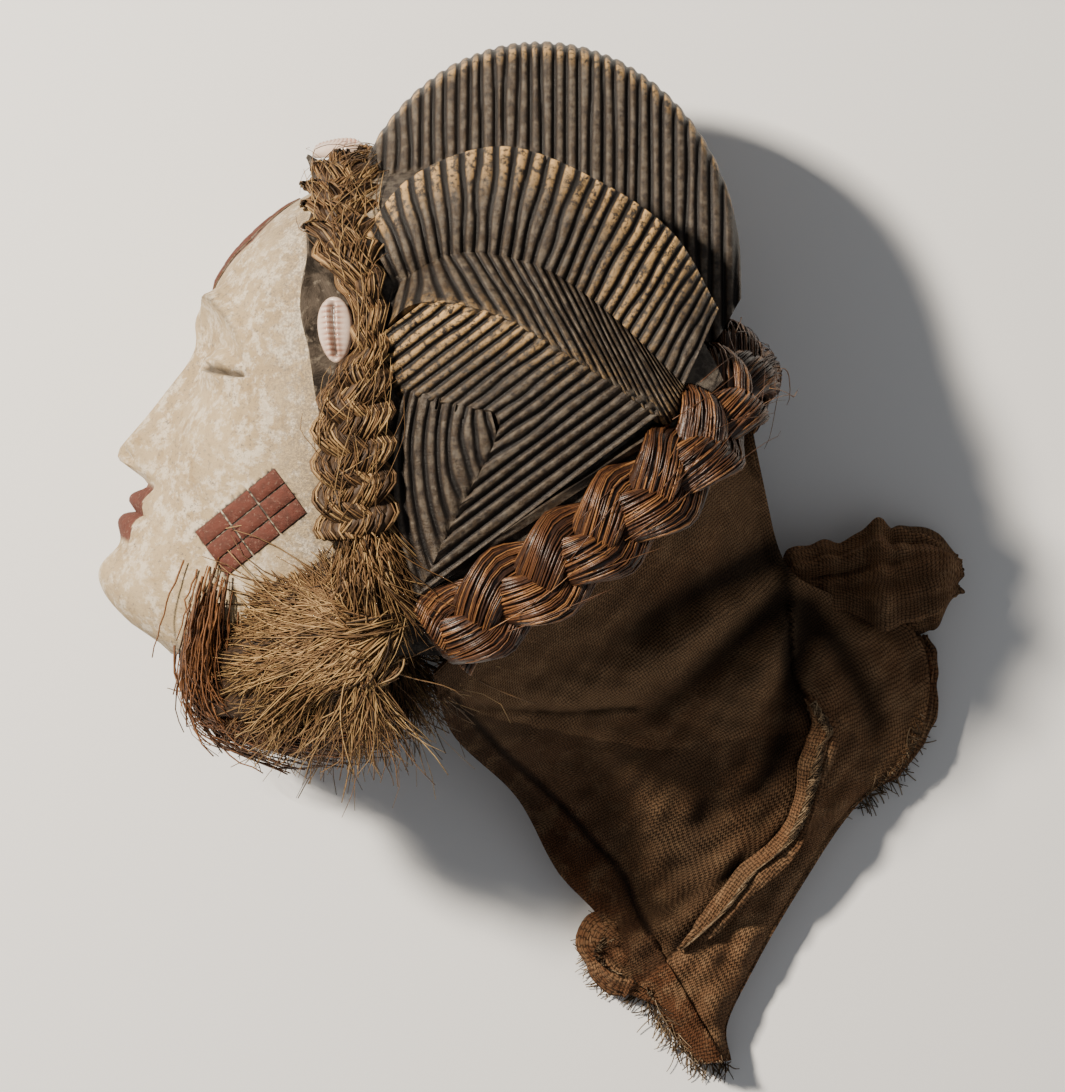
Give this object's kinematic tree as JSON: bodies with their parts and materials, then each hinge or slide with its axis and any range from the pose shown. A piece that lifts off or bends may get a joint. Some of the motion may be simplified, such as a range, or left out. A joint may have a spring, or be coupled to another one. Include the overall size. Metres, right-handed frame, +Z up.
{
  "type": "punu mask",
  "caption": "Carved wooden helmet mask with a pale calm face, fluted crested hair, raffia plaits and fringe, cowries and a cloth hood, lying on its side.",
  "frame": {"origin": "middle of the footprint on the floor, with the mask lying on its right side", "axes": "+Z up, out of the mask's left side; -X the way the face looks, tipped back; +Y towards the crest, the hood's tail towards -Y"},
  "size_m": [0.346, 0.4136, 0.1733],
  "materials": {
    "carved_wood": "kaolin, red ochre and dark stain, worn",
    "dark_hide": "matte, dusty",
    "dry_straw": "dry raffia fibre",
    "glossy_straw": "glossy red-brown raffia fibre",
    "cowrie_shell": "semi-gloss shell",
    "burlap": "coarse matte weave"
  },
  "bodies": {
    "root": {"carved_mask": "carved_wood", "hide_band": "dark_hide", "hairline_plait": "dry_straw", "nape_plait": "glossy_straw", "cowrie_left": "cowrie_shell", "cowrie_right": "cowrie_shell", "cowrie_top": "cowrie_shell", "chin_fringe": "dry_straw", "cloth_hood": "burlap"}
  },
  "joints": []
}
